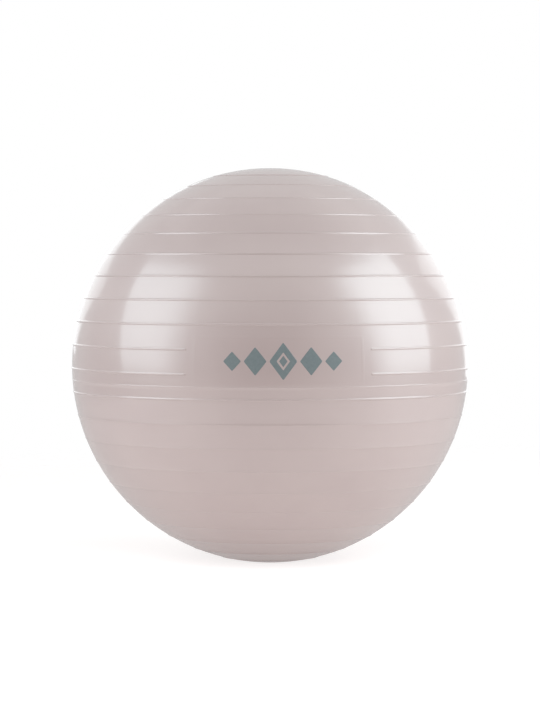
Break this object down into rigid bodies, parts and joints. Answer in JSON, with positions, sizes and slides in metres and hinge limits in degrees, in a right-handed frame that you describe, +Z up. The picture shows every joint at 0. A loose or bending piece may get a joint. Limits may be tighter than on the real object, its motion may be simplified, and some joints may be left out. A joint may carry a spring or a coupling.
{
  "type": "exercise ball",
  "caption": "Inflated exercise ball of pearly moulded plastic with fine ribs around it, a smooth printed panel in front and a push-in air valve at the back.",
  "frame": {"origin": "middle of the flat patch on which the inflated ball rests", "axes": "+Z up along the axis of the ribs, -Y out of the smooth panel with the printed mark, +Y out of the air valve, +X to the right seen from the panel's side"},
  "size_m": [0.652, 0.6502, 0.646],
  "materials": {
    "skin": "gloss",
    "seat": "satin",
    "plug": "satin",
    "ink": "satin"
  },
  "bodies": {
    "ball": {"ball_shell": "skin", "valve_seat": "seat", "printed_emblem": "ink"},
    "plug": {"valve_plug": "plug"}
  },
  "joints": [
    {"name": "plug_pull", "type": "slide", "parent": "ball", "child": "plug", "axis": [0, 1, 0], "range_m": [0, 0.03]}
  ]
}
